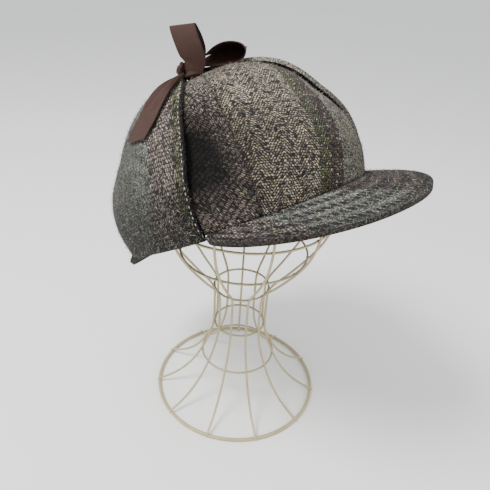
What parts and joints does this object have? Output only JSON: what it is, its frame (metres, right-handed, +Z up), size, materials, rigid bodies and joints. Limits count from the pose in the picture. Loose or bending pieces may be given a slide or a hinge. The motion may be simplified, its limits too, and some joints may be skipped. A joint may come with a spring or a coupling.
{
  "type": "deerstalker hat on a wire stand",
  "caption": "Tweed deerstalker hat with its ear flaps tied up over the crown in a ribbon bow, resting on a plain wire hat stand.",
  "frame": {"origin": "on the surface that the stand's foot stands on, under the middle of the whole object's box", "axes": "+Z up along the stand's axis, -Y the way the hat's front peak points, +X towards the wearer's left"},
  "size_m": [0.1876, 0.2541, 0.3245],
  "materials": {
    "tweed": "woolly herringbone tweed with an overcheck",
    "ribbon": "soft brown grosgrain ribbon",
    "painted_wire": "cream painted steel wire, satin"
  },
  "bodies": {
    "root": {"crown": "tweed", "front_peak": "tweed", "rear_peak": "tweed", "ear_flap_right": "tweed", "ear_flap_left": "tweed", "ribbon_knot": "ribbon", "bow_loop_upright": "ribbon", "bow_loop_side": "ribbon", "ribbon_tail_near": "ribbon", "ribbon_tail_back": "ribbon", "ribbon_strap_far": "ribbon", "wire_stand": "painted_wire"}
  },
  "joints": []
}
